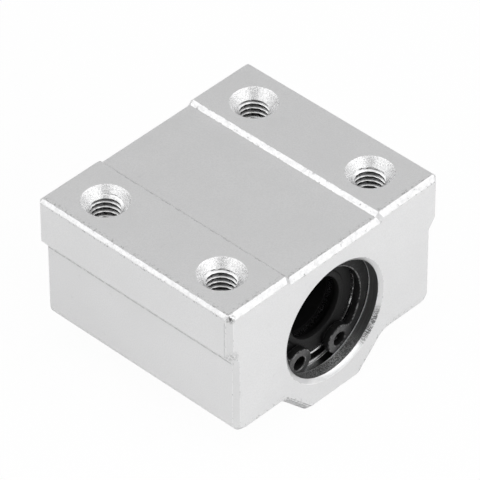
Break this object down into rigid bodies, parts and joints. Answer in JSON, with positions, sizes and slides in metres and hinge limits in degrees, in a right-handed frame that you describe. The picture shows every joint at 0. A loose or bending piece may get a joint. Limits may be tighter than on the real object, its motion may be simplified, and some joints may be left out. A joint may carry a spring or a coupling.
{
  "type": "linear bearing block",
  "caption": "Stepped metal block with a round bore that holds a ball bearing for a sliding shaft, kept in by spring rings, with tapped holes in two raised mounting pads.",
  "frame": {"origin": "middle of the bore, which is also the middle of the block in all three directions", "axes": "+X across the block's width, +Y along the bore to the rear end, +Z from the bore axis up to the mounting pads"},
  "size_m": [0.034, 0.03, 0.022],
  "materials": {
    "housing_aluminium": "satin, fine blasted and clear anodised",
    "circlip_black": "black phosphated spring steel, semi-matt",
    "bearing_steel": "ground bearing steel",
    "ball_steel": "polished bearing balls",
    "cage_plastic": "moulded black plastic",
    "seal_rubber": "black nitrile rubber"
  },
  "bodies": {
    "block": {"housing": "housing_aluminium", "outer_sleeve": "bearing_steel", "ball_cage": "cage_plastic", "end_ring_front": "bearing_steel", "end_ring_rear": "bearing_steel", "seal_front": "seal_rubber", "seal_rear": "seal_rubber", "circlip_front": "circlip_black", "circlip_rear": "circlip_black"},
    "load_balls_1": {"load_balls_1": "ball_steel"},
    "return_balls_1": {"return_balls_1": "ball_steel"},
    "front_turn_balls_1": {"front_turn_balls_1": "ball_steel"},
    "rear_turn_balls_1": {"rear_turn_balls_1": "ball_steel"},
    "load_balls_2": {"load_balls_2": "ball_steel"},
    "return_balls_2": {"return_balls_2": "ball_steel"},
    "front_turn_balls_2": {"front_turn_balls_2": "ball_steel"},
    "rear_turn_balls_2": {"rear_turn_balls_2": "ball_steel"},
    "load_balls_3": {"load_balls_3": "ball_steel"},
    "return_balls_3": {"return_balls_3": "ball_steel"},
    "front_turn_balls_3": {"front_turn_balls_3": "ball_steel"},
    "rear_turn_balls_3": {"rear_turn_balls_3": "ball_steel"},
    "load_balls_4": {"load_balls_4": "ball_steel"},
    "return_balls_4": {"return_balls_4": "ball_steel"},
    "front_turn_balls_4": {"front_turn_balls_4": "ball_steel"},
    "rear_turn_balls_4": {"rear_turn_balls_4": "ball_steel"}
  },
  "joints": [
    {"name": "load_row_1", "type": "slide", "parent": "block", "child": "load_balls_1", "axis": [0, 1, 0], "range_m": [-0.0009, 0.0009]},
    {"name": "return_row_1", "type": "slide", "parent": "block", "child": "return_balls_1", "axis": [0, 1, 0], "range_m": [-0.0009, 0.0009]},
    {"name": "front_turn_1", "type": "hinge", "parent": "block", "child": "front_turn_balls_1", "pos_m": [0.00262, -0.00629, 0.00423], "axis": [0.7314, 0, 0.682], "range_deg": [-45, 45]},
    {"name": "rear_turn_1", "type": "hinge", "parent": "block", "child": "rear_turn_balls_1", "pos_m": [0.00262, 0.00629, 0.00423], "axis": [0.7314, 0, 0.682], "range_deg": [-45, 45]},
    {"name": "load_row_2", "type": "slide", "parent": "block", "child": "load_balls_2", "axis": [0, 1, 0], "range_m": [-0.0009, 0.0009]},
    {"name": "return_row_2", "type": "slide", "parent": "block", "child": "return_balls_2", "axis": [0, 1, 0], "range_m": [-0.0009, 0.0009]},
    {"name": "front_turn_2", "type": "hinge", "parent": "block", "child": "front_turn_balls_2", "pos_m": [-0.00423, -0.00629, 0.00262], "axis": [-0.682, 0, 0.7314], "range_deg": [-45, 45]},
    {"name": "rear_turn_2", "type": "hinge", "parent": "block", "child": "rear_turn_balls_2", "pos_m": [-0.00423, 0.00629, 0.00262], "axis": [-0.682, 0, 0.7314], "range_deg": [-45, 45]},
    {"name": "load_row_3", "type": "slide", "parent": "block", "child": "load_balls_3", "axis": [0, 1, 0], "range_m": [-0.0009, 0.0009]},
    {"name": "return_row_3", "type": "slide", "parent": "block", "child": "return_balls_3", "axis": [0, 1, 0], "range_m": [-0.0009, 0.0009]},
    {"name": "front_turn_3", "type": "hinge", "parent": "block", "child": "front_turn_balls_3", "pos_m": [-0.00262, -0.00629, -0.00423], "axis": [-0.7314, 0, -0.682], "range_deg": [-45, 45]},
    {"name": "rear_turn_3", "type": "hinge", "parent": "block", "child": "rear_turn_balls_3", "pos_m": [-0.00262, 0.00629, -0.00423], "axis": [-0.7314, 0, -0.682], "range_deg": [-45, 45]},
    {"name": "load_row_4", "type": "slide", "parent": "block", "child": "load_balls_4", "axis": [0, 1, 0], "range_m": [-0.0009, 0.0009]},
    {"name": "return_row_4", "type": "slide", "parent": "block", "child": "return_balls_4", "axis": [0, 1, 0], "range_m": [-0.0009, 0.0009]},
    {"name": "front_turn_4", "type": "hinge", "parent": "block", "child": "front_turn_balls_4", "pos_m": [0.00423, -0.00629, -0.00262], "axis": [0.682, 0, -0.7314], "range_deg": [-45, 45]},
    {"name": "rear_turn_4", "type": "hinge", "parent": "block", "child": "rear_turn_balls_4", "pos_m": [0.00423, 0.00629, -0.00262], "axis": [0.682, 0, -0.7314], "range_deg": [-45, 45]}
  ],
  "couplings": [
    {"joint": "return_row_1", "follows": "load_row_1", "ratio": -1},
    {"joint": "front_turn_1", "follows": "load_row_1", "rad_per_m": 873.36},
    {"joint": "rear_turn_1", "follows": "load_row_1", "rad_per_m": 873.36},
    {"joint": "return_row_2", "follows": "load_row_2", "ratio": -1},
    {"joint": "front_turn_2", "follows": "load_row_2", "rad_per_m": 873.36},
    {"joint": "rear_turn_2", "follows": "load_row_2", "rad_per_m": 873.36},
    {"joint": "return_row_3", "follows": "load_row_3", "ratio": -1},
    {"joint": "front_turn_3", "follows": "load_row_3", "rad_per_m": 873.36},
    {"joint": "rear_turn_3", "follows": "load_row_3", "rad_per_m": 873.36},
    {"joint": "return_row_4", "follows": "load_row_4", "ratio": -1},
    {"joint": "front_turn_4", "follows": "load_row_4", "rad_per_m": 873.36},
    {"joint": "rear_turn_4", "follows": "load_row_4", "rad_per_m": 873.36}
  ]
}
